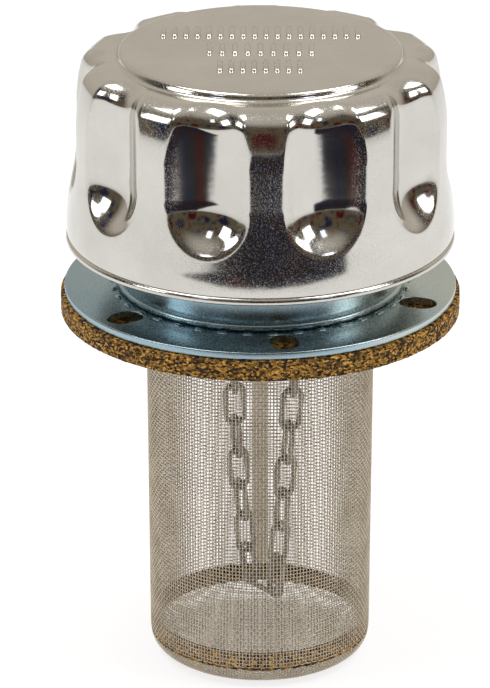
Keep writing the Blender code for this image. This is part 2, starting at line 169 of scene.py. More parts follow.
def mix_colour(mat, factor, first, second):
    """Mix two colours; each input is a socket or a plain value."""
    node = add_node(mat, "ShaderNodeMix", data_type="RGBA")
    for index, value in ((0, factor), (6, first), (7, second)):
        socket = node.inputs[index]
        if isinstance(value, bpy.types.NodeSocket):
            mat.node_tree.links.new(value, socket)
        else:
            socket.default_value = value if index == 0 else (*value, 1.0)
    return node.outputs[2]


def maths(mat, operation, first, second=0.0, third=0.0, clamp=False):
    """The result of one sum on sockets or plain numbers."""
    return add_node(mat, "ShaderNodeMath", {0: first, 1: second, 2: third},
                    operation=operation, use_clamp=clamp).outputs[0]


def map_range(mat, value, start, end, low=0.0, high=1.0):
    """A smooth step from one number to another as a value goes from its start to its end."""
    return add_node(mat, "ShaderNodeMapRange", {"Value": value, "From Min": start, "From Max": end,
                                                "To Min": low, "To Max": high},
                    interpolation_type="SMOOTHSTEP").outputs["Result"]


def position(mat):
    """The point on the piece in its own space, in metres."""
    return add_node(mat, "ShaderNodeTexCoord").outputs["Object"]


def noise(mat, scale, detail=3.0, roughness=0.55, vector=None, output="Fac"):
    """Smooth noise in the piece's own space, unless another vector is given."""
    source = vector or position(mat)
    return add_node(mat, "ShaderNodeTexNoise", {"Vector": source, "Scale": scale, "Detail": detail,
                                               "Roughness": roughness}).outputs[output]


def bump(mat, shader, height, distance, strength=1.0):
    """Fine relief from a height."""
    node = add_node(mat, "ShaderNodeBump", {"Height": height, "Strength": strength,
                                            "Distance": distance})
    mat.node_tree.links.new(node.outputs["Normal"], shader.inputs["Normal"])


def link_input(mat, socket, value):
    """Join a node's output to a shader's input."""
    mat.node_tree.links.new(value, socket)


# Materials


def chrome_material():
    """Bright plating over pressed sheet: faint orange peel, a fine grain and handling haze."""
    mat, shader = new_material("chrome_plate")
    shader.inputs["Metallic"].default_value = 1.0
    haze = noise(mat, 60.0, 4.0, 0.6)
    colour = ramp(mat, haze, [(0.3, (0.545, 0.530, 0.490)), (0.7, (0.625, 0.610, 0.570))])
    link_input(mat, shader.inputs["Base Color"], colour)
    grain = map_range(mat, noise(mat, 5200.0, 1.0, 0.5), 0.50, 0.72, 0.0, 0.24)
    axes = add_node(mat, "ShaderNodeSeparateXYZ", {0: position(mat)}).outputs
    flat = add_node(mat, "ShaderNodeCombineXYZ", {0: axes["X"], 1: axes["Y"]}).outputs[0]
    radius = add_node(mat, "ShaderNodeVectorMath", {0: flat}, operation="LENGTH").outputs["Value"]
    on_crest = map_range(mat, radius, (CREST_R - 2.6) * MM, (CREST_R - 0.8) * MM)
    shoulder = FLANGE_Z + SHOULDER_Z
    on_top = map_range(mat, axes["Z"], (shoulder - 1) * MM, (shoulder + 2) * MM)
    grain = maths(mat, "MULTIPLY", grain, maths(mat, "MAXIMUM", on_crest, on_top))
    film = maths(mat, "MULTIPLY_ADD", haze, 0.10, 0.045)
    link_input(mat, shader.inputs["Roughness"], maths(mat, "ADD", film, grain))
    peel = noise(mat, 420.0, 2.0, 0.5)
    bump(mat, shader, peel, 0.00003, 0.3)
    return mat


def zinc_material():
    """Zinc plate under a thin clear passivation; its colour runs from a darker blue-green on the
    left (-X) to pale straw on the right (+X), with a wandering drift.
    """
    mat, shader = new_material("zinc_plate")
    shader.inputs["Metallic"].default_value = 1.0
    drift = noise(mat, 22.0, 2.0, 0.5)
    across = add_node(mat, "ShaderNodeSeparateXYZ", {0: position(mat)}).outputs["X"]
    # The colour runs darker and bluer towards -X and paler towards +X, the same on every zinc
    # piece.
    tone = maths(mat, "MULTIPLY_ADD", across, 7.0, drift, clamp=True)
    colour = ramp(mat, tone, [(0.20, (0.235, 0.36, 0.43)), (0.50, (0.35, 0.46, 0.51)),
                              (0.80, (0.54, 0.60, 0.57))])
    grain = noise(mat, 900.0, 3.0, 0.6)
    colour = mix_colour(mat, maths(mat, "MULTIPLY", grain, 0.05), colour, (0.75, 0.78, 0.76))
    link_input(mat, shader.inputs["Base Color"], colour)
    link_input(mat, shader.inputs["Roughness"], maths(mat, "MULTIPLY_ADD", grain, 0.10, 0.22))
    bump(mat, shader, grain, 0.00002, 0.06)
    return mat


def steel_material(name, dark, light, roughness):
    """Plain steel with fine drawing marks and a patchy oil film."""
    mat, shader = new_material(name)
    shader.inputs["Metallic"].default_value = 1.0
    patch = noise(mat, 180.0, 4.0, 0.6)
    link_input(mat, shader.inputs["Base Color"], ramp(mat, patch, [(0.3, dark), (0.7, light)]))
    fine = noise(mat, 1500.0, 2.0, 0.6)
    rough = maths(mat, "MULTIPLY_ADD", fine, 0.2, roughness - 0.1)
    link_input(mat, shader.inputs["Roughness"], rough)
    bump(mat, shader, fine, 0.00003, 0.3)
    return mat


def cork_material():
    """Pressed cork: tan to red-brown granules in a dark binder, with painted shade in small pits.
    """
    mat, shader = new_material("pressed_cork")
    warp = noise(mat, 1500.0, 2.0, 0.5, output="Color")
    shift = add_node(mat, "ShaderNodeVectorMath", {0: warp, "Scale": 0.0003},
                     operation="SCALE").outputs[0]
    flat = add_node(mat, "ShaderNodeVectorMath", {0: position(mat), 1: (1.0, 1.0, 1.6)},
                    operation="MULTIPLY").outputs[0]
    place = add_node(mat, "ShaderNodeVectorMath", {0: flat, 1: shift}, operation="ADD").outputs[0]
    cells = add_node(mat, "ShaderNodeTexVoronoi",
                     {"Vector": place, "Scale": 1650.0, "Randomness": 1.0})
    pick = add_node(mat, "ShaderNodeSeparateColor", {0: cells.outputs["Color"]}).outputs["Red"]
    grain = ramp(mat, pick, [(0.0, (0.008, 0.005, 0.003)), (0.26, (0.028, 0.015, 0.005)),
                             (0.42, (0.13, 0.064, 0.010)), (0.60, (0.30, 0.150, 0.020)),
                             (0.80, (0.56, 0.290, 0.045)), (1.0, (0.80, 0.46, 0.11))])
    # Painted shade: small pits between the granules are darkened by three quarters towards near
    # black.
    pit_shade = map_range(mat, noise(mat, 3800.0, 2.0), 0.40, 0.52)
    grain = mix_colour(mat, pit_shade, mix_colour(mat, 0.75, grain, (0.02, 0.012, 0.006)), grain)
    link_input(mat, shader.inputs["Base Color"], grain)
    shader.inputs["Roughness"].default_value = 0.8
    shader.inputs["Specular IOR Level"].default_value = 0.3
    bump(mat, shader, pick, 0.0002, 0.5)
    return mat


def foam_material():
    """Open-cell foam: paler walls round dark cells; the cells' extra darkness is painted shade in
    the open pores.
    """
    mat, shader = new_material("filter_foam")
    cells = add_node(mat, "ShaderNodeTexVoronoi", {"Vector": position(mat), "Scale": 1100.0},
                     feature="DISTANCE_TO_EDGE")
    # Painted shade: each open cell goes near black towards its middle, away from the paler walls.
    wall = ramp(mat, cells.outputs["Distance"],
                [(0.03, (0.16, 0.16, 0.17)), (0.2, (0.02, 0.02, 0.022))])
    link_input(mat, shader.inputs["Base Color"], wall)
    shader.inputs["Roughness"].default_value = 0.95
    bump(mat, shader, cells.outputs["Distance"], 0.0005, 0.8)
    return mat


# Mesh helpers


def point(r, angle, z):
    """A point in metres from a radius, an angle and a height above the flange's top face."""
    return Vector((r * math.cos(angle), r * math.sin(angle), z + FLANGE_Z)) * MM


def finish_piece(name, bm, mat, body, slot, *replaced, smooth_deg=40.0):
    """Turn a bmesh into a smooth-shaded piece that rides on a body."""
    bmesh.ops.remove_doubles(bm, verts=bm.verts, dist=1e-7)
    bmesh.ops.recalc_face_normals(bm, faces=bm.faces)
    mesh = bpy.data.meshes.new(name)
    bm.to_mesh(mesh)
    bm.free()
    return finish_mesh(name, mesh, mat, body, slot, *replaced, smooth_deg=smooth_deg)


def finish_mesh(name, mesh, mat, body, slot, *replaced, smooth_deg=40.0):
    """Turn a mesh into a smooth-shaded piece that rides on a body."""
    mesh.shade_smooth()
    mesh.set_sharp_from_angle(angle=math.radians(smooth_deg))
    mesh.materials.append(mat)
    piece = bpy.data.objects.new(name, mesh)
    bpy.context.scene.collection.objects.link(piece)
    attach(piece, body)
    if replaced:
        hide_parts(*replaced)
    return piece


def lathe(profile, steps):
    """Spin a closed (radius, height) outline round the Z axis."""
    bm = bmesh.new()
    rings = []
    for i in range(steps):
        angle = TAU * i / steps
        rings.append([bm.verts.new(point(r, angle, z)) for r, z in profile])
    for near, far in zip(rings, rings[1:] + rings[:1]):
        for k in range(len(profile)):
            n = (k + 1) % len(profile)
            if profile[k][0] == 0 and profile[n][0] == 0:
                continue
            bm.faces.new((near[k], near[n], far[n], far[k]))
    bmesh.ops.remove_doubles(bm, verts=bm.verts, dist=1e-7)
    bmesh.ops.dissolve_degenerate(bm, edges=bm.edges, dist=1e-8)
    return bm


def rounded(outline, radius, steps=4):
    """Round every corner of a closed (radius, height) outline by at most a radius."""
    result = []
    count = len(outline)
    for i in range(count):
        corner = Vector(outline[i])
        before, after = Vector(outline[i - 1]), Vector(outline[(i + 1) % count])
        first, second = before - corner, after - corner
        reach = min(radius, first.length * 0.45, second.length * 0.45)
        if corner.x == 0 or reach < 1e-4:
            result.append((corner.x, corner.y))
            continue
        start = corner + first.normalized() * reach
        end = corner + second.normalized() * reach
        for k in range(steps + 1):
            t = k / steps
            spot = start * (1 - t) ** 2 + corner * 2 * t * (1 - t) + end * t ** 2
            result.append((spot.x, spot.y))
    return result


def ring_outline(inner, outer, bottom, top):
    """The section of a flat ring."""
    return [(inner, bottom), (outer, bottom), (outer, top), (inner, top)]


def arc(centre_r, centre_z, radius, start_deg, end_deg, steps):
    """Points along an arc of a section, from one angle to another."""
    angles = [math.radians(start_deg + (end_deg - start_deg) * i / steps) for i in range(steps + 1)]
    return [(centre_r + radius * math.cos(a), centre_z + radius * math.sin(a)) for a in angles]


def tubes(paths, radius, sides, closed, across):
    """One mesh of round bars. paths is (bars, points, 3) in millimetres; across is a matching unit
    vector at each point, square to the bar."""
    paths, across = np.asarray(paths, float), np.asarray(across, float)
    bars, count, _ = paths.shape
    if closed:
        along = np.roll(paths, -1, 1) - np.roll(paths, 1, 1)
    else:
        along = np.gradient(paths, axis=1)
    along /= np.linalg.norm(along, axis=2, keepdims=True)
    other = np.cross(along, across)
    other /= np.linalg.norm(other, axis=2, keepdims=True)
    across = np.cross(other, along)
    turn = TAU * (np.arange(sides) + 0.5) / sides
    ring = (across[:, :, None] * np.cos(turn)[:, None] + other[:, :, None] * np.sin(turn)[:, None])
    verts = (paths[:, :, None] + ring * radius) * MM
    index = np.arange(bars * count * sides).reshape(bars, count, sides)
    ahead = np.roll(index, -1, 1) if closed else index[:, 1:]
    here = index if closed else index[:, :-1]
    beside, ahead_beside = np.roll(here, -1, 2), np.roll(ahead, -1, 2)
    quads = np.stack([here, beside, ahead_beside, ahead], -1).reshape(-1, 4)
    mesh = bpy.data.meshes.new("tubes")
    faces = quads[:, ::-1].tolist()
    if not closed:
        faces += index[:, 0].tolist() + index[:, -1, ::-1].tolist()
    mesh.from_pydata(verts.reshape(-1, 3).tolist(), [], faces)
    mesh.update()
    return mesh


def circle_outline(radius, steps, x=0.0):
    """A circle with its centre on the X axis."""
    return [(x + radius * math.cos(TAU * i / steps), radius * math.sin(TAU * i / steps))
            for i in range(steps)]


def stadium_outline(length, width, steps):
    """A slot with round ends, along X; each end has that many steps."""
    half, radius = (length - width) / 2, width / 2
    ends = [math.pi * (i / steps - 0.5) for i in range(steps + 1)]
    right = [(half + radius * math.cos(a), radius * math.sin(a)) for a in ends]
    return right + [(-x, -y) for x, y in right]


def grown(outline, centre_x, amount):
    """Move a convex outline's points away from its centre."""
    result = []
    for x, y in outline:
        offset = Vector((x - centre_x, y))
        offset += offset.normalized() * amount
        result.append((centre_x + offset.x, offset.y))
    return result


def stack_rings(bm, rings):
    """Join rings of points, one above the next, and close both ends."""
    for low, high in zip(rings, rings[1:]):
        for k in range(len(low)):
            n = (k + 1) % len(low)
            bm.faces.new((low[k], low[n], high[n], high[k]))
    bm.faces.new(rings[0][::-1])
    bm.faces.new(rings[-1])


def hole_cutter(outline, centre_x, bottom, top, chamfer, count, start_deg):
    """Repeated hole cutters round the axis, flared where they leave the two faces."""
    bm = bmesh.new()
    levels = [(bottom - 1, chamfer + 1), (bottom + chamfer, 0), (top - chamfer, 0),
              (top + 1, chamfer + 1)]
    for i in range(count):
        turn = Matrix.Rotation(math.radians(start_deg) + TAU * i / count, 3, "Z")
        rings = []
        for z, grow in levels:
            flat = grown(outline, centre_x, grow)
            rings.append([bm.verts.new(turn @ Vector((x, y, z + FLANGE_Z)) * MM) for x, y in flat])
        stack_rings(bm, rings)
    return bm


def cut(piece, bm):
    """Cut holes through a piece and keep the result as its mesh."""
    mesh = bpy.data.meshes.new("cutter")
    bm.to_mesh(mesh)
    bm.free()
    cutter = bpy.data.objects.new("cutter", mesh)
    bpy.context.scene.collection.objects.link(cutter)
    boolean = piece.modifiers.new("holes", "BOOLEAN")
    boolean.object = cutter
    boolean.operation = "DIFFERENCE"
    boolean.solver = "EXACT"
    bpy.context.view_layer.update()
    depsgraph = bpy.context.evaluated_depsgraph_get()
    result = bpy.data.meshes.new_from_object(piece.evaluated_get(depsgraph))
    piece.modifiers.clear()
    piece.data = result
    bpy.data.objects.remove(cutter)
    result.shade_smooth()
    result.set_sharp_from_angle(angle=math.radians(40))


def span(name):
    """A CAD node's outer radius and its lowest and highest points."""
    low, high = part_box(name)
    return high.x / MM, low.z / MM - FLANGE_Z, high.z / MM - FLANGE_Z


# Cap


def soft_min(a, b, blend):
    """The smaller of two numbers, with the corner between them rounded over a width."""
    h = max(blend - abs(a - b), 0.0) / blend
    return min(a, b) - h * h * blend / 4


def crest_radius(z):
    """The drum's radius between the flutes: flared below, and drawn in at both ends."""
    below = max(0.0, FLARE_Z - z)
    flare = FLARE_SLOPE * below ** 2 / (below + FLARE_EASE)
    skirt = SKIRT_CURVE * max(0.0, SKIRT_Z - z) ** 2
    return CREST_R + flare - skirt - TAPER_CURVE * max(0.0, z - TAPER_Z) ** 2


def wall_radius(angle, z):
    """The cap wall's radius, where a ball-nosed tool has pressed each flute into the drum."""
    crest = crest_radius(z)
    pitch = TAU / FLUTES
    offset = (angle - math.radians(FIRST_FLUTE_DEG) + pitch / 2) % pitch - pitch / 2
    side, below = TOOL_AXIS_R * math.sin(offset), max(0.0, BALL_Z - z)
    chord = TOOL_R ** 2 - side ** 2 - below ** 2
    if chord <= 0:
        return crest
    return soft_min(crest, TOOL_AXIS_R * math.cos(offset) - math.sqrt(chord), EDGE_BLEND)


def cap_section(angle, inset, wall_steps):
    """The pressed sheet's half section at one angle, from near the centre to the rolled hem."""
    top, annulus = PLATEAU_Z - inset, ANNULUS_Z - inset
    points = [(PLATEAU_R * share - inset, top) for share in (0.15, 0.4, 0.65, 0.85)]
    slope = math.radians(STEP_SLOPE_DEG)
    bend = (top - annulus) / 2 / (1 - math.cos(slope))
    foot = PLATEAU_R + 2 * bend * math.sin(slope)
    points += arc(PLATEAU_R - inset, top - bend, bend, 90, 90 - STEP_SLOPE_DEG, 8)
    points += arc(foot - inset, annulus + bend, bend, -90 - STEP_SLOPE_DEG, -90, 8)
    depth = crest_radius(SHOULDER_Z) - wall_radius(angle, SHOULDER_Z)
    spring = SHOULDER_Z - FLUTE_DROP * min(1.0, depth / FLUTE_DEPTH)
    wall = wall_radius(angle, spring)
    lean = math.atan((wall_radius(angle, spring - 0.1) - wall) / 0.1)
    radius = (ANNULUS_Z - spring) / (1 - math.sin(lean))
    centre_r = wall - radius * math.cos(lean)
    points += arc(centre_r, ANNULUS_Z - radius, radius - inset, 90, math.degrees(lean), 12)
    for k in range(1, wall_steps):
        z = spring + (CURL_Z - spring) * k / wall_steps
        points.append((wall_radius(angle, z) - inset, z))
    curl = wall_radius(angle, CURL_Z) - CURL_R
    points += arc(curl, CURL_Z, CURL_R - inset, 0, CURL_TURN_DEG, 6)
    turn = math.radians(CURL_TURN_DEG)
    hem_r = curl + CURL_R * math.cos(turn) + HEM_R * math.sin(turn)
    hem_z = CURL_Z + CURL_R * math.sin(turn) - HEM_R * math.cos(turn)
    if not inset:
        points += arc(hem_r, hem_z, HEM_R, CURL_TURN_DEG + 90, -95, 12)
    points.append((HEM_END_R, hem_z - HEM_R + inset))
    return points


def make_cap_shell(mat):
    """The fluted cover: its outer and inner skins, joined at the centre and at the hem."""
    steps = int(600 * QUALITY)
    bm = bmesh.new()
    tops = [bm.verts.new(point(0, 0, PLATEAU_Z)), bm.verts.new(point(0, 0, PLATEAU_Z - CAP_T))]
    sections = []
    for i in range(steps):
        angle = TAU * i / steps
        outer = cap_section(angle, 0.0, int(70 * QUALITY))
        inner = cap_section(angle, CAP_T, 16)
        skin = [bm.verts.new(point(r, angle, z)) for r, z in outer + inner[::-1]]
        sections.append([tops[0], *skin, tops[1]])
    for near, far in zip(sections, sections[1:] + sections[:1]):
        for k in range(len(near) - 1):
            bm.faces.new(list(dict.fromkeys((near[k], near[k + 1], far[k + 1], far[k]))))
    finish_piece("chromed_cap", bm, mat, "cap", "chrome_shell", "cap_shell", smooth_deg=60)


def add_lozenge(bm, x, y, length):
    """A plain raised bar with a domed top, standing on the cap's plateau."""
    rings = []
    for level, share in ((-0.1, 1.0), (0.45, 0.95), (0.8, 0.82), (1.0, 0.5)):
        outline = stadium_outline(length * share, MARK_WIDTH * share, 6)
        z = PLATEAU_Z + FLANGE_Z + MARK_HEIGHT * level
        rings.append([bm.verts.new(Vector((x + v, y + u, z)) * MM) for u, v in outline])
    stack_rings(bm, rings)


def make_cap_marks(mat):
    """Three centred rows of plain raised bars on the cap's top."""
    bm = bmesh.new()
    for count, x, y, length, pitch in MARK_ROWS:
        for i in range(count):
            add_lozenge(bm, x + (i - (count - 1) / 2) * pitch, y, length)
    finish_piece("cap_top_bars", bm, mat, "cap", "chrome_shell", smooth_deg=60)


def make_pan(mat):
    """The hat-shaped pan inside the cap, with a ring of vent holes in its floor."""
    rim, low, high = span("cap_inner_pan")
    upper = [(SHANK_HOLE_R, high), (PAN_DOME_R, high), (PAN_DOME_R, PAN_FLOOR + PAN_T),
             (PAN_WALL_R, PAN_FLOOR + PAN_T), (PAN_WALL_R, low + PAN_T), (rim, low + PAN_T)]
    lower = [(rim, low), (PAN_WALL_R - PAN_T, low), (PAN_WALL_R - PAN_T, PAN_FLOOR),
             (PAN_DOME_R - PAN_T, PAN_FLOOR), (PAN_DOME_R - PAN_T, high - PAN_T),
             (SHANK_HOLE_R, high - PAN_T)]
    pan = finish_piece("inner_pan", lathe(rounded(upper + lower, 0.7), PLAIN_STEPS), mat, "cap",
                       "plain_steel", "cap_inner_pan")
    vent = circle_outline(VENT_R, 20, VENT_CIRCLE_R)
    cut(pan, hole_cutter(vent, VENT_CIRCLE_R, PAN_FLOOR, PAN_FLOOR + PAN_T, 0.05, VENTS,
                         FIRST_VENT_DEG))


def make_inner_rings(steel, foam, zinc, cork):
    """The plain rings: breather element, sleeve, bush, spring plate, seal and basket rim."""
    rings = (
        ("breather_ring", "breather_element", BREATHER_BORE_R, foam, "cap", "filter_foam", 1.2),
        ("sleeve", "spacer_sleeve", SHANK_HOLE_R, zinc, "cap", "zinc_plate", 0.3),
        ("bush", "swivel_bush", SHANK_HOLE_R, zinc, "swivel", "zinc_plate", 0.3),
        ("spring_plate", "seal_plate", SEAL_PLATE_BORE_R, steel, "seal", "plain_steel", 0.3),
        ("mouth_seal", "cap_seal", SEAL_BORE_R, cork, "seal", "cork", 0.4),
        ("hanging_rim", "basket_rim", RIM_BORE_R, steel, "root", "plain_steel", 0.3))
    for name, node, bore, mat, body, slot, corner in rings:
        radius, bottom, top = span(node)
        outline = rounded(ring_outline(bore, radius, bottom, top), corner)
        finish_piece(name, lathe(outline, PLAIN_STEPS), mat, body, slot, node)


def make_rivet(mat):
    """The rivet through the cap: a low dome above, a plain shank and an upset tail."""
    head_r, bottom, top = span("spindle_rivet")
    under, tail = top - RIVET_HEAD_T, bottom + RIVET_TAIL_T
    head = [(0, top), (RIVET_FLAT_R, top - RIVET_CROWN), (head_r, top - RIVET_DOME),
            (head_r, under), (SHANK_R, under)]
    foot = [(SHANK_R, tail), (RIVET_TAIL_R, tail), (RIVET_TAIL_R, tail - RIVET_TAIL_RIM),
            (SHANK_R, bottom), (0, bottom)]
    finish_piece("rivet", lathe(rounded(head + foot, 0.4), 64), mat, "cap", "zinc_plate",
                 "spindle_rivet")


def make_spring(mat):
    """The coil between pan and seal plate, built at one fixed length; the real coil shortens as the
    seal plate rises.
    """
    coil_r, bottom, top = span("cap_spring")
    steps = COIL_TURNS * 48
    radius = coil_r - COIL_WIRE_R
    angle = TAU * COIL_TURNS * np.arange(steps + 1) / steps
    height = np.linspace(bottom + COIL_WIRE_R, top - COIL_WIRE_R, steps + 1) + FLANGE_Z
    path = np.stack([radius * np.cos(angle), radius * np.sin(angle), height], 1)
    outward = np.stack([np.cos(angle), np.sin(angle), 0 * angle], 1)
    mesh = tubes([path], COIL_WIRE_R, 12, False, [outward])
    spring = finish_mesh("coil_spring", mesh, mat, "cap", "plain_steel", "cap_spring")
    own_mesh(spring)


# Neck


def make_flange(mat):
    """The round plate with its radial slots."""
    radius, bottom, top = span("flange_plate")
    outline = rounded(ring_outline(FLANGE_BORE_R, radius, bottom, top), 0.35)
    flange = finish_piece("slotted_flange", lathe(outline, FINE_STEPS), mat, "root", "zinc_plate",
                          "flange_plate")
    slot = [(SLOT_R + x, y) for x, y in stadium_outline(SLOT_LENGTH, SLOT_WIDTH, 14)]
    cut(flange, hole_cutter(slot, SLOT_R, bottom, top, 0.15, SLOTS, FIRST_SLOT_DEG))


def make_stakes(mat):
    """The ring of small stake marks round the collar's foot."""
    bm = bmesh.new()
    for i in range(STAKES):
        turn = Matrix.Rotation(TAU * i / STAKES, 3, "Z")
        rings = []
        for z, share in ((-0.05, 1.0), (0.22, 0.8), (0.34, 0.5)):
            outline = stadium_outline(STAKE_LENGTH * share, STAKE_WIDTH * share, 5)
            rings.append([bm.verts.new(turn @ Vector((STAKE_R + y, x, z + FLANGE_Z)) * MM)
                          for x, y in outline])
        stack_rings(bm, rings)
    finish_piece("stake_marks", bm, mat, "root", "zinc_plate", smooth_deg=60)


def make_collar(mat):
    """The neck: a pressed ring with round corners, an inturned rim and two notches for the lugs."""
    radius, foot, top = span("collar")
    corner = radius - COLLAR_CORNER_R
    inner = COLLAR_CORNER_R - COLLAR_T
    outline = arc(corner, foot + COLLAR_CORNER_R, COLLAR_CORNER_R, -90, 0, 10)
    outline += arc(corner, top - COLLAR_CORNER_R, COLLAR_CORNER_R, 0, 90, 10)
    outline += [(COLLAR_MOUTH_R, top), (COLLAR_MOUTH_R, top - COLLAR_T)]
    outline += arc(corner, top - COLLAR_CORNER_R, inner, 90, 0, 6)
    outline += arc(corner, foot + COLLAR_CORNER_R, inner, 0, -90, 6)
    outline += [(COLLAR_FOOT_R, foot + COLLAR_T), (COLLAR_FOOT_R, foot)]
    collar = finish_piece("neck_collar", lathe(outline, FINE_STEPS), mat, "root", "zinc_plate",
                          "collar")
    edge = arc(0, 0, NOTCH_R, -NOTCH_DEG / 2, NOTCH_DEG / 2, 16)
    near_x = COLLAR_MOUTH_R - 4
    notch = [(near_x, edge[0][1] * 0.8), *edge, (near_x, edge[-1][1] * 0.8)]
    cut(collar, hole_cutter(notch, SLOT_R, top - COLLAR_T - 0.4, top + 1, 0.0, 2, 90))


def make_foot_bead(mat):
    """The rolled bead where the collar's wall meets the flange."""
    collar_r = span("collar")[0]
    bead = circle_outline(FOOT_BEAD_R, 24, collar_r - FOOT_BEAD_SINK)
    outline = [(r, z + FOOT_BEAD_R + 0.02) for r, z in bead]
    finish_piece("collar_bead", lathe(outline, FINE_STEPS), mat, "root", "zinc_plate")


def roughen(mesh, amount, scale, seed):
    """Move a mesh's points along their normals by a lumpy noise of granules."""
    count = len(mesh.vertices)
    normals = np.zeros(count * 3, np.float32)
    places = np.zeros(count * 3, np.float32)
    mesh.vertices.foreach_get("normal", normals)
    mesh.vertices.foreach_get("co", places)
    normals, places = normals.reshape(-1, 3), places.reshape(-1, 3)
    shift = Vector((seed, 0, 0))
    height = np.array([lumps.noise(Vector(p) * scale + shift)
                       + 0.5 * lumps.noise(Vector(p) * scale * 2.3) for p in places.tolist()])
    mesh.vertices.foreach_set("co", (places + normals * (height * amount * MM)[:, None]).ravel())
    mesh.update()


def dense_ring(inner, outer, bottom, top, corner, step):
    """A flat ring's outline with its sides split into short lengths."""
    outline = rounded(ring_outline(inner, outer, bottom, top), corner, 3)
    result = []
    for i, here in enumerate(outline):
        ahead = outline[(i + 1) % len(outline)]
        length = math.dist(here, ahead)
        parts = max(1, round(length / step))
        result += [(here[0] + (ahead[0] - here[0]) * k / parts,
                    here[1] + (ahead[1] - here[1]) * k / parts) for k in range(parts)]
    return result


def make_cork_rings(mat):
    """The flange gasket and the basket's ring, with crumbly granular faces."""
    step = 0.55 / QUALITY
    radius, bottom, _ = span("flange_gasket")
    _, top, _ = span("flange_plate")
    outline = dense_ring(GASKET_BORE_R, radius - 0.1, bottom, top, 0.3, step)
    gasket = finish_piece("cork_gasket", lathe(outline, int(480 * QUALITY)), mat, "root", "cork",
                          "flange_gasket")
    cut(gasket, hole_cutter(circle_outline(GASKET_HOLE_R, 20, SLOT_R), SLOT_R, bottom, top, 0.0,
                            SLOTS, FIRST_SLOT_DEG))
    roughen(gasket.data, 0.09, 900.0, 1.7)
    _, bottom, top = span("basket_cork_ring")
    outline = dense_ring(CORK_RING_BORE_R, CORK_RING_R, bottom, top, 0.3, step)
    ring = finish_piece("cork_ring", lathe(outline, int(300 * QUALITY)), mat, "root", "cork",
                        "basket_cork_ring")
    roughen(ring.data, 0.08, 900.0, 5.1)


# Strainer basket


def basket_radius(z):
    """The mesh wall's middle radius at a height."""
    _, bottom, top = span("basket_wall")
    share = (z - bottom) / (top - bottom)
    return BASKET_LOW_R + (BASKET_TOP_R - BASKET_LOW_R) * np.clip(share, 0, 1)


def make_basket_wall(mat):
    """Plain weave: upright warp wires pass over and under level weft rings."""
    _, bottom, top = span("basket_wall")
    rows = int((top + RIM_OVERLAP - bottom) / WEFT_PITCH) + 1
    z = bottom + WEFT_PITCH * np.arange(rows)
    angles = TAU * np.arange(WARP_WIRES) / WARP_WIRES
    over = np.where((np.arange(WARP_WIRES)[:, None] + np.arange(rows)[None]) % 2, 1.0, -1.0)
    middle = basket_radius(z)[None]
    cos, sin = np.cos(angles)[:, None], np.sin(angles)[:, None]
    height = np.broadcast_to(z[None] + FLANGE_Z, over.shape)
    outward = np.stack([cos + 0 * over, sin + 0 * over, 0 * over], -1)
    warp_r, weft_r = middle + over * WEAVE, middle - over * WEAVE
    warp = np.stack([warp_r * cos, warp_r * sin, height], -1)
    weft = np.stack([weft_r * cos, weft_r * sin, height], -1).swapaxes(0, 1)
    finish_mesh("basket_warp", tubes(warp, WIRE_R, WIRE_SIDES, False, outward), mat, "root",
                "strainer_mesh", "basket_wall", smooth_deg=180)
    finish_mesh("basket_weft", tubes(weft, WIRE_R, WIRE_SIDES, True, outward.swapaxes(0, 1)), mat,
                "root", "strainer_mesh", smooth_deg=180)


def floor_point(distance, low):
    """Radius and height along the floor's section, from the centre out to the wall."""
    corner = BASKET_CORNER_R - FLOOR_HALF_T
    flat = BASKET_LOW_R - corner
    if distance <= flat:
        return distance, low
    turn = min((distance - flat) / corner, TAU / 4)
    return flat + corner * math.sin(turn), low + corner * (1 - math.cos(turn))


def make_basket_floor(mat):
    """A drawn cup of square mesh: straight wires both ways, bent up round the corner."""
    low = span("basket_floor")[1] + FLOOR_HALF_T
    reach = BASKET_LOW_R - BASKET_CORNER_R + (BASKET_CORNER_R - FLOOR_HALF_T) * TAU / 4
    count = int(reach / FLOOR_PITCH)
    for axis, name in ((0, "floor_warp"), (1, "floor_weft")):
        bm = bmesh.new()
        for i in range(-count, count + 1):
            side = i * FLOOR_PITCH
            half = int(math.sqrt(max(reach ** 2 - side ** 2, 0)) / FLOOR_PITCH)
            if half < 2:
                continue
            path = []
            for k in range(-half, half + 1):
                flat = Vector((k * FLOOR_PITCH, side))
                radius, z = floor_point(flat.length, low)
                spot = flat.normalized() * radius
                wave = WEAVE * (1 if (i + k + axis) % 2 else -1)
                x, y = (spot.x, spot.y) if axis == 0 else (spot.y, spot.x)
                path.append((x, y, z + wave + FLANGE_Z))
            up = np.tile([0.0, 0.0, 1.0], (len(path), 1))
            bar = tubes([path], WIRE_R, WIRE_SIDES, False, [up])
            bm.from_mesh(bar)
            bpy.data.meshes.remove(bar)
        replaced = ("basket_floor",) if axis == 0 else ()
        finish_piece(name, bm, mat, "root", "strainer_mesh", *replaced, smooth_deg=180)


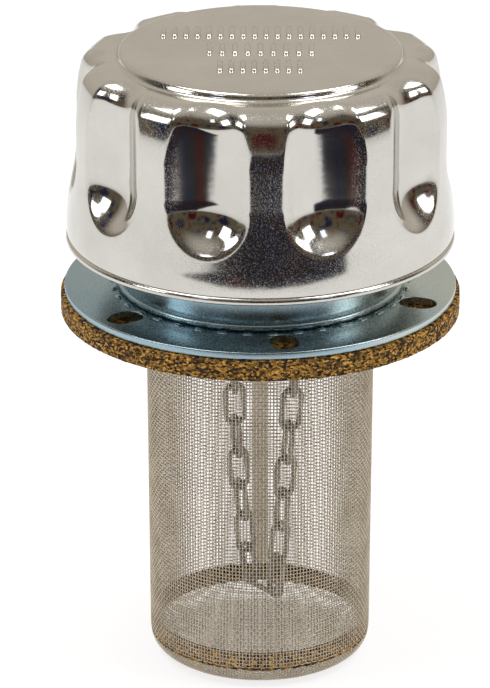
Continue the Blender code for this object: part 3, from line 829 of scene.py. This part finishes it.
def make_seam(mat):
    """The lapped seam down the inside of the back wall, with the weave still showing in it."""
    low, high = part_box("basket_seam")
    _, bottom, top = span("basket_seam")
    width, inner = (high.x - low.x) / MM, low.y / MM
    rows, columns = SEAM_ROWS, SEAM_COLUMNS
    bm = bmesh.new()
    grid = []
    for radius in (inner + SEAM_GAP, inner + SEAM_GAP + SEAM_T):
        for r in range(rows + 1):
            z = bottom + (top - bottom) * r / rows
            line = []
            for c in range(columns + 1):
                angle = TAU / 4 + (0.5 - c / columns) * width / inner
                weave = SEAM_WEAVE if (r + c) % 2 else -SEAM_WEAVE
                line.append(bm.verts.new(point(radius + weave, angle, z)))
            grid.append(line)
    half = rows + 1
    for r in range(rows):
        for c in range(columns):
            for base in (0, half):
                bm.faces.new((grid[base + r][c], grid[base + r][c + 1], grid[base + r + 1][c + 1],
                              grid[base + r + 1][c]))
        for c in (0, columns):
            bm.faces.new((grid[r][c], grid[r + 1][c], grid[half + r + 1][c], grid[half + r][c]))
    for r in (0, rows):
        for c in range(columns):
            bm.faces.new((grid[r][c], grid[r][c + 1], grid[half + r][c + 1], grid[half + r][c]))
    finish_piece("seam_strip", bm, mat, "root", "plain_steel", "basket_seam")


# Chain


def link_path():
    """Points round one oval link that stands along Z, in the XZ plane."""
    half, bend = (LINK_LENGTH - LINK_WIDTH) / 2, (LINK_WIDTH - LINK_WIRE) / 2
    angles = np.linspace(0, math.pi, 13)
    upper = np.stack([bend * np.cos(angles), 0 * angles, half + bend * np.sin(angles)], 1)
    return np.concatenate([upper, -upper])


def make_chain(mat):
    """Smooth oval links laid over the frame's links, along each one's own long and flat axes."""
    path = link_path()
    across = np.tile([0.0, 1.0, 0.0], (len(path), 1))
    for name in sorted(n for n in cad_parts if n.startswith("chain_link_")):
        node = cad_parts[name]
        spots = np.array([node.matrix_world @ v.co for v in node.data.vertices])
        centre = spots.mean(axis=0)
        _, _, axes = np.linalg.svd(spots - centre)
        along, flat = Vector(axes[0]), Vector(axes[2])
        turn = Matrix((flat.cross(along), flat, along)).transposed().to_4x4()
        mesh = tubes([path], LINK_WIRE / 2, 12, True, [across])
        mesh.transform(Matrix.Translation(centre) @ turn)
        finish_mesh(name.replace("chain_link", "link"), mesh, mat, "chain", "plain_steel", name)


# Pieces that keep their CAD shape


def paint_cad(name, mat):
    """Give a carried-over CAD node its looks, with its edges rounded a little."""
    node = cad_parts[name]
    for slot in node.material_slots:
        slot.material = mat
    weld = node.modifiers.new("weld", "WELD")
    weld.merge_threshold = 0.00001
    bevel = node.modifiers.new("edges", "BEVEL")
    bevel.width = 0.00015
    bevel.segments = 2
    bevel.limit_method = "ANGLE"
    bevel.angle_limit = math.radians(40)


# Studio


def make_floor():
    """A plain pale floor under the lowest point."""
    mat, shader = new_material("studio_floor")
    tone = ramp(mat, noise(mat, 3.0), [(0.3, (0.33, 0.33, 0.34)), (0.7, (0.36, 0.36, 0.37))])
    link_input(mat, shader.inputs["Base Color"], tone)
    shader.inputs["Emission Color"].default_value = (0.99, 0.995, 1.0, 1.0)
    shader.inputs["Emission Strength"].default_value = FLOOR_GLOW
    shader.inputs["Roughness"].default_value = 0.9
    shader.inputs["Specular IOR Level"].default_value = 0.0
    bm = bmesh.new()
    bmesh.ops.create_grid(bm, x_segments=1, y_segments=1, size=FLOOR_HALF)
    mesh = bpy.data.meshes.new("floor")
    bm.to_mesh(mesh)
    bm.free()
    mesh.materials.append(mat)
    floor = bpy.data.objects.new("floor", mesh)
    floor.location.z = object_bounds()[0][2] - 0.0003
    bpy.context.scene.collection.objects.link(floor)
    floor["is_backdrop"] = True


def mat_tint(mat):
    """The dark mat's colour: near black, with faint red, navy and brown patches."""
    place = add_node(mat, "ShaderNodeNewGeometry").outputs["Position"]
    return ramp(mat, noise(mat, 6.0, 2.0, 0.5, place), [
        (0.34, (0.060, 0.010, 0.008)), (0.44, (0.020, 0.019, 0.022)), (0.54, (0.018, 0.019, 0.026)),
        (0.62, (0.014, 0.017, 0.060)), (0.72, (0.060, 0.042, 0.020))])


def glow_card(name, size, place, aim, tint, mask=None):
    """A flat studio card that only shiny surfaces see. tint is a colour or makes one from the
    card's material, and mask makes its opacity."""
    mat = bpy.data.materials.new(name)
    mat.use_nodes = True
    mat.node_tree.nodes.clear()
    colour = tint(mat) if callable(tint) else (*tint, 1.0)
    glow = add_node(mat, "ShaderNodeEmission", {"Color": colour}).outputs[0]
    if mask:
        clear = add_node(mat, "ShaderNodeBsdfTransparent").outputs[0]
        glow = add_node(mat, "ShaderNodeMixShader", {0: mask(mat), 1: clear, 2: glow}).outputs[0]
    add_node(mat, "ShaderNodeOutputMaterial", {"Surface": glow})
    bm = bmesh.new()
    bmesh.ops.create_grid(bm, x_segments=1, y_segments=1, size=0.5)
    bmesh.ops.scale(bm, verts=bm.verts, vec=(size[0], size[1], 1))
    mesh = bpy.data.meshes.new(name)
    bm.to_mesh(mesh)
    bm.free()
    mesh.materials.append(mat)
    card = bpy.data.objects.new(name, mesh)
    card.location = place
    card.rotation_euler = (Vector(aim) - Vector(place)).to_track_quat("Z", "Y").to_euler()
    card.visible_camera = card.visible_diffuse = card.visible_shadow = False
    card.visible_transmission = card.visible_volume_scatter = False
    bpy.context.scene.collection.objects.link(card)
    card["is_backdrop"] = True


def mat_mask(mat):
    """Soft, slightly broken edges for the dark mat, which widens to the right as it recedes."""
    place = add_node(mat, "ShaderNodeNewGeometry").outputs["Position"]
    axes = add_node(mat, "ShaderNodeSeparateXYZ", {0: place}).outputs
    ragged = maths(mat, "MULTIPLY", maths(mat, "SUBTRACT", noise(mat, 14.0, 3.0), 0.5), 0.05)
    x, y = maths(mat, "ADD", axes["X"], ragged), maths(mat, "ADD", axes["Y"], ragged)
    spread = maths(mat, "MULTIPLY_ADD", y, MAT_SPREAD, x)
    edge = MAT_RIGHT + MAT_NEAR * MAT_SPREAD
    left = map_range(mat, x, MAT_LEFT - 0.02, MAT_LEFT + 0.04)
    right = map_range(mat, spread, edge + 0.03, edge - 0.05)
    near = map_range(mat, y, MAT_NEAR + 0.02, MAT_NEAR - 0.02)
    return maths(mat, "MULTIPLY", maths(mat, "MULTIPLY", left, right), near)


def add_softbox(name, place, size, power):
    """A soft rectangular light that faces the object."""
    light = bpy.data.lights.new(name, "AREA")
    light.shape = "RECTANGLE"
    light.size, light.size_y = size
    light.energy = power
    lamp = bpy.data.objects.new(name, light)
    lamp.location = place
    lamp.rotation_euler = (Vector(AIM) - Vector(place)).to_track_quat("-Z", "Y").to_euler()
    bpy.context.scene.collection.objects.link(lamp)


def make_world():
    """A beige room with a dark mixed band low in front; the camera itself sees it pale."""
    world = bpy.data.worlds.new("studio")
    world.use_nodes = True
    bpy.context.scene.world = world
    way = add_node(world, "ShaderNodeTexCoord").outputs["Generated"]
    axes = add_node(world, "ShaderNodeSeparateXYZ", {0: way}).outputs
    mixed = ramp(world, noise(world, 3.5, 2.0, 0.5, way), [
        (0.36, (0.012, 0.014, 0.05)), (0.48, (0.12, 0.10, 0.06)), (0.56, (0.14, 0.115, 0.075)),
        (0.64, (0.07, 0.005, 0.006))])
    high = ramp(world, axes["Z"], [(0.0, (0.30, 0.27, 0.22)), (1.0, (0.62, 0.58, 0.52))])
    front = mix_colour(world, map_range(world, axes["Z"], 0.50, 0.90), mixed, high)
    back = ramp(world, axes["Z"], [(0.0, (0.55, 0.50, 0.43)), (0.35, (0.68, 0.63, 0.55)),
                                   (1.0, (0.62, 0.58, 0.52))])
    room = mix_colour(world, map_range(world, axes["Y"], 0.10, 0.55), front, back)
    seen = add_node(world, "ShaderNodeLightPath").outputs["Is Camera Ray"]
    room = mix_colour(world, seen, room, (0.93, 0.93, 0.92))
    world.node_tree.links.new(room, world.node_tree.nodes["Background"].inputs["Color"])


def make_studio():
    """The floor, the room, four soft lights, and the cards that show only in the plating."""
    make_floor()
    make_world()
    for name, place, size, power in (
            ("box_left", (-0.40, -0.05, 1.15), (0.50, 0.55), 4.6),
            ("box_right", (0.54, -0.05, 1.12), (0.50, 0.55), 4.6),
            ("fill_left", (-1.3, -0.5, 0.75), (0.5, 0.5), 3.4),
            ("fill_right", (1.3, -0.4, 0.75), (0.5, 0.5), 3.4)):
        add_softbox(name, place, size, power)
    window = (3.0, 3.1, 3.5)
    glow_card("window_left", (0.16, 0.22), (-0.55, -0.75, 0.80), AIM, window)
    glow_card("window_right", (0.16, 0.22), (0.62, -0.70, 0.80), AIM, window)
    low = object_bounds()[0][2]
    glow_card("dark_mat", (4.0, 3.0), (0.6, -1.7, low), (0.6, -1.7, 1.0), mat_tint, mat_mask)


def make_camera():
    """The viewing angle: slightly above, with a long lens."""
    data = bpy.data.cameras.new("camera")
    data.lens, data.sensor_width = LENS_MM, 36.0
    data.clip_start, data.clip_end = 0.05, 20.0
    camera = bpy.data.objects.new("camera", data)
    camera.location = (0.0, -CAMERA_BACK, CAMERA_UP + FLANGE_Z * MM)
    camera.rotation_euler = (math.radians(90 - CAMERA_PITCH_DEG), 0.0,
                             math.radians(CAMERA_TURN_DEG))
    bpy.context.scene.collection.objects.link(camera)
    bpy.context.scene.camera = camera


def build():
    """Every piece, each with its material."""
    chrome, zinc, cork, foam = chrome_material(), zinc_material(), cork_material(), foam_material()
    steel = steel_material("plain_steel", (0.42, 0.41, 0.38), (0.62, 0.61, 0.58), 0.38)
    dull = steel_material("chain_steel", (0.22, 0.205, 0.18), (0.36, 0.34, 0.30), 0.40)
    wire = steel_material("strainer_wire", (0.52, 0.450, 0.345), (0.70, 0.622, 0.505), 0.42)
    lap = steel_material("seam_steel", (0.66, 0.59, 0.49), (0.90, 0.83, 0.72), 0.50)
    make_cap_shell(chrome)
    make_cap_marks(chrome)
    make_pan(steel)
    make_inner_rings(steel, foam, zinc, cork)
    make_rivet(zinc)
    make_spring(steel)
    make_flange(zinc)
    make_stakes(zinc)
    make_collar(zinc)
    make_foot_bead(zinc)
    make_cork_rings(cork)
    make_basket_wall(wire)
    make_basket_floor(wire)
    make_seam(lap)
    make_chain(dull)
    for name in ("bayonet_spider", "swivel_eye"):
        paint_cad(name, zinc)


build()
make_studio()
make_camera()
bpy.context.scene.view_settings.view_transform = "Standard"
